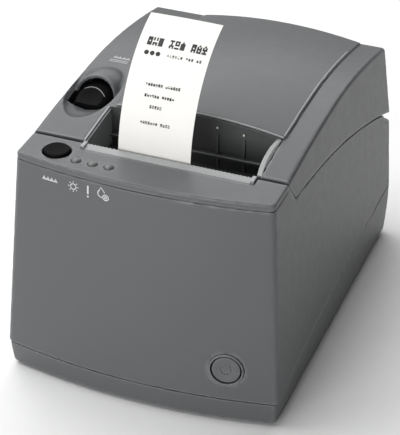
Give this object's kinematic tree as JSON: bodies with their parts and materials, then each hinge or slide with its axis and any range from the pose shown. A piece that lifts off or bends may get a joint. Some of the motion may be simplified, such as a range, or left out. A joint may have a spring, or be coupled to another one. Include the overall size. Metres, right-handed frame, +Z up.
{
  "type": "thermal receipt printer",
  "caption": "Compact table-top receipt printer with a bowed front, a rear-hinged lift-up cover with a paper-exit pocket, a release lever, buttons, tear bar, paper roll and drive train.",
  "frame": {"origin": "middle of the bounding box on the surface that the feet stand on", "axes": "+X to the printer's left-to-right as seen from the front, +Y from the bowed front to the connector side, +Z up"},
  "size_m": [0.148, 0.208, 0.1824],
  "materials": {
    "grey_casing": "fine moulded texture, warm grey",
    "light_trim": "fine moulded texture, light grey",
    "smoked_lens": "semi-clear grey lens",
    "black_button": "satin black",
    "dark_liner": "dark charcoal, fine texture",
    "black_plastic": "moulded black",
    "white_plastic": "natural acetal",
    "black_rubber": "matt black",
    "sheet_steel": "zinc plated",
    "bright_steel": "ground",
    "plated_shell": "nickel plated",
    "aluminium": "extruded",
    "ceramic": "glazed print line",
    "brass": "cut brass",
    "circuit_board": "solder mask green",
    "board_parts": "moulded black",
    "ribbon_cable": "white film",
    "paper": "thermal paper, smooth",
    "cardboard": "plain tube"
  },
  "bodies": {
    "casing": {"base_tray": "grey_casing", "rubber_feet": "black_rubber", "base_screws": "bright_steel", "main_housing": "grey_casing", "tear_bar": "light_trim", "status_lenses": "smoked_lens", "panel_board": "circuit_board", "feed_switch": "black_plastic", "power_bezel": "grey_casing", "power_switch": "circuit_board", "main_board": "circuit_board", "board_components": "board_parts", "head_cable": "ribbon_cable", "interface_plate": "sheet_steel", "power_inlet": "black_plastic", "usb_port": "plated_shell", "network_port": "plated_shell", "drawer_port": "black_plastic", "serial_port": "plated_shell", "left_side_plate": "sheet_steel", "right_side_plate": "sheet_steel", "cross_bar": "sheet_steel", "keeper_pins": "bright_steel", "idler_axle": "bright_steel", "lower_paper_guide": "dark_liner", "paper_sensor": "black_plastic", "head_pivot_rod": "bright_steel", "head_springs": "bright_steel", "stepper_motor": "black_plastic", "cutter_frame": "sheet_steel", "cutter_motor": "sheet_steel", "paper_bin": "black_plastic", "paper_guides": "dark_liner", "near_end_sensor": "black_plastic", "cover_open_switch": "black_plastic", "hinge_brackets": "sheet_steel", "paper_web": "paper"},
    "feed_button": {"feed_button": "black_button"},
    "power_button": {"power_button": "grey_casing"},
    "print_head": {"print_head": "ceramic", "head_heatsink": "aluminium"},
    "motor_pinion": {"motor_pinion": "brass"},
    "idler_gear": {"idler_gear": "white_plastic"},
    "moving_blade": {"moving_blade": "bright_steel"},
    "cutter_pinion": {"cutter_pinion": "white_plastic"},
    "paper_roll": {"paper_roll": "paper", "roll_core": "cardboard"},
    "cover": {"top_cover": "grey_casing", "pocket_liner": "dark_liner", "fixed_blade": "bright_steel", "platen_carrier": "black_plastic", "platen_bearings": "brass", "latch_spring": "bright_steel"},
    "platen": {"platen_roller": "black_rubber", "platen_shaft": "bright_steel", "platen_gear": "white_plastic"},
    "release_lever": {"release_lever": "black_button", "latch_shaft": "bright_steel", "latch_hooks": "sheet_steel"},
    "receipt": {"receipt": "paper"}
  },
  "joints": [
    {"name": "cover_hinge", "type": "hinge", "parent": "casing", "child": "cover", "pos_m": [0, 0.0985, 0.0775], "axis": [-1, 0, 0], "range_deg": [0, 70]},
    {"name": "release_lever_pivot", "type": "hinge", "parent": "cover", "child": "release_lever", "pos_m": [-0.053, -0.031, 0.112], "axis": [-1, 0, 0], "range_deg": [0, 14], "stiffness_Nm_per_rad": 0.3, "springref_deg": -5.73},
    {"name": "platen_spin", "type": "hinge", "parent": "cover", "child": "platen", "pos_m": [0.006, -0.0608, 0.1], "axis": [1, 0, 0], "continuous": true},
    {"name": "idler_spin", "type": "hinge", "parent": "casing", "child": "idler_gear", "pos_m": [0.0605, -0.06372, 0.07935], "axis": [1, 0, 0], "continuous": true},
    {"name": "motor_spin", "type": "hinge", "parent": "casing", "child": "motor_pinion", "pos_m": [0.0605, -0.05516, 0.06484], "axis": [1, 0, 0], "continuous": true},
    {"name": "print_head_pivot", "type": "hinge", "parent": "casing", "child": "print_head", "pos_m": [0.006, -0.076, 0.086], "axis": [1, 0, 0], "range_deg": [0, 3], "stiffness_Nm_per_rad": 0.2, "springref_deg": -8.59},
    {"name": "cutter_slide", "type": "slide", "parent": "casing", "child": "moving_blade", "axis": [0, 1, 0], "range_m": [0, 0.004]},
    {"name": "cutter_spin", "type": "hinge", "parent": "casing", "child": "cutter_pinion", "pos_m": [-0.05285, -0.078, 0.112], "axis": [0, 0, 1], "range_deg": [0, 50]},
    {"name": "paper_roll_spin", "type": "hinge", "parent": "casing", "child": "paper_roll", "pos_m": [-0.0025, 0.018, 0.0643], "axis": [1, 0, 0], "continuous": true},
    {"name": "feed_button_press", "type": "slide", "parent": "casing", "child": "feed_button", "axis": [0, 0, -1], "range_m": [0, 0.0012], "stiffness_N_per_m": 300, "springref_m": -0.0008},
    {"name": "power_button_press", "type": "slide", "parent": "casing", "child": "power_button", "axis": [-0.1464, 0.9868, -0.0698], "range_m": [0, 0.0015], "stiffness_N_per_m": 300, "springref_m": -0.0008},
    {"name": "receipt_pull", "type": "slide", "parent": "cover", "child": "receipt", "axis": [0, 0, 1], "range_m": [0, 0.06]}
  ],
  "couplings": [
    {"joint": "idler_spin", "follows": "platen_spin", "ratio": -0.85714},
    {"joint": "motor_spin", "follows": "platen_spin", "ratio": 1.7143},
    {"joint": "cutter_spin", "follows": "cutter_slide", "rad_per_m": 208.33}
  ]
}
